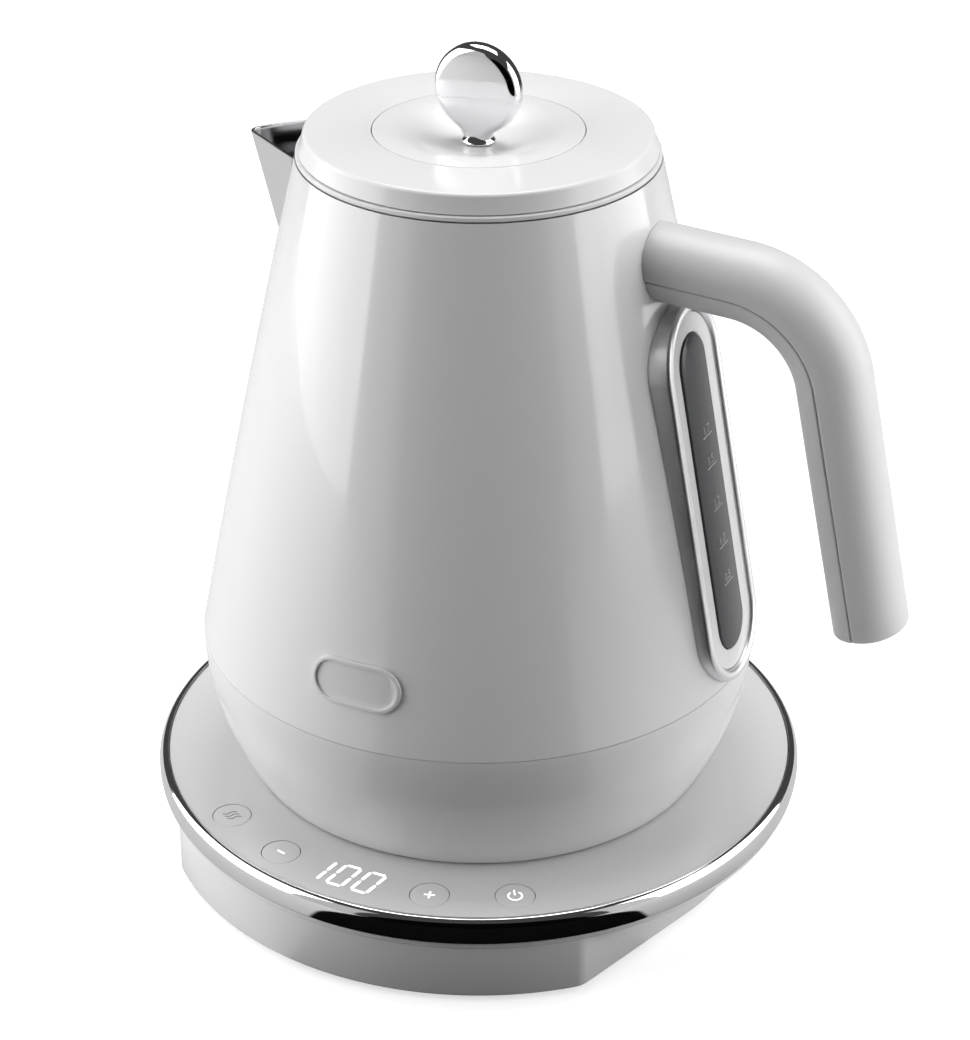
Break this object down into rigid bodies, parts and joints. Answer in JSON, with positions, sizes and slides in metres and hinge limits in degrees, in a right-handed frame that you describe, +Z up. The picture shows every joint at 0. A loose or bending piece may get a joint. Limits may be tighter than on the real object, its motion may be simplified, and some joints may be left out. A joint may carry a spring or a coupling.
{
  "type": "electric jug kettle",
  "caption": "Cordless electric jug kettle with a water window, a pull-off lid and a short V spout, standing on a round power base with push buttons and a temperature display.",
  "frame": {"origin": "on the kettle's axis, at the table under the feet", "axes": "+Z up along the kettle's axis, +X towards the handle, -X towards the spout, -Y towards the controls on the base"},
  "size_m": [0.2461, 0.21, 0.2671],
  "materials": {
    "enamel_paint": "glossy white enamel over steel",
    "gloss_white": "glossy moulded plastic",
    "satin_white": "satin moulded plastic",
    "chrome": "bright plating",
    "polished_steel": "polished",
    "stainless": "plain",
    "aluminium": "as cast",
    "brass": "plain",
    "smoked_window": "smoked clear plastic",
    "silicone": "soft grey silicone",
    "rubber": "matt black",
    "black_plastic": "moulded",
    "circuit_board": "lacquered laminate"
  },
  "bodies": {
    "base": {"base_housing": "gloss_white", "base_bottom_plate": "gloss_white", "base_screw_1": "stainless", "base_screw_2": "stainless", "base_screw_3": "stainless", "base_foot_1": "rubber", "base_foot_2": "rubber", "base_foot_3": "rubber", "base_foot_4": "rubber", "base_ring": "chrome", "base_deck": "gloss_white", "switch_keep_warm": "black_plastic", "switch_minus": "black_plastic", "switch_plus": "black_plastic", "switch_power": "black_plastic", "control_board": "circuit_board", "display_module": "black_plastic", "base_connector": "black_plastic", "power_board": "circuit_board", "power_relay": "black_plastic", "cord_gland": "rubber"},
    "dock": {"jug_connector": "black_plastic", "jug_contact_ring": "brass", "jug_earth_pin": "brass"},
    "jug": {"body_shell": "enamel_paint", "rim_ring": "gloss_white", "collar": "gloss_white", "foot_cover": "gloss_white", "cover_screw_1": "stainless", "cover_screw_2": "stainless", "cover_screw_3": "stainless", "element_plate": "stainless", "floor_seal": "silicone", "heat_spreader": "aluminium", "heating_element": "stainless", "jug_control": "black_plastic", "temperature_probe": "stainless", "spout": "polished_steel", "strainer": "stainless", "handle_shell": "satin_white", "handle_insert": "satin_white", "handle_bracket": "stainless", "handle_screw": "stainless", "window_lens": "smoked_window", "window_gasket": "silicone", "window_frame": "gloss_white", "window_bezel": "chrome", "badge": "gloss_white"},
    "lid": {"lid_cover": "gloss_white", "lid_disc": "gloss_white", "lid_plug": "gloss_white", "lid_seal": "silicone", "knob": "chrome", "knob_screw": "stainless"},
    "keep_warm_button": {"button_keep_warm": "gloss_white"},
    "minus_button": {"button_minus": "gloss_white"},
    "plus_button": {"button_plus": "gloss_white"},
    "power_button": {"button_power": "gloss_white"}
  },
  "joints": [
    {"name": "jug_lift", "type": "slide", "parent": "base", "child": "dock", "axis": [0, 0, 1], "range_m": [0, 0.1]},
    {"name": "jug_swivel", "type": "hinge", "parent": "dock", "child": "jug", "pos_m": [0, 0, 0], "axis": [0, 0, 1], "continuous": true},
    {"name": "lid_lift", "type": "slide", "parent": "jug", "child": "lid", "axis": [0, 0, 1], "range_m": [0, 0.06]},
    {"name": "keep_warm_press", "type": "slide", "parent": "base", "child": "keep_warm_button", "axis": [0, 0, -1], "range_m": [0, 0.0005], "stiffness_N_per_m": 1000},
    {"name": "minus_press", "type": "slide", "parent": "base", "child": "minus_button", "axis": [0, 0, -1], "range_m": [0, 0.0005], "stiffness_N_per_m": 1000},
    {"name": "plus_press", "type": "slide", "parent": "base", "child": "plus_button", "axis": [0, 0, -1], "range_m": [0, 0.0005], "stiffness_N_per_m": 1000},
    {"name": "power_press", "type": "slide", "parent": "base", "child": "power_button", "axis": [0, 0, -1], "range_m": [0, 0.0005], "stiffness_N_per_m": 1000}
  ]
}
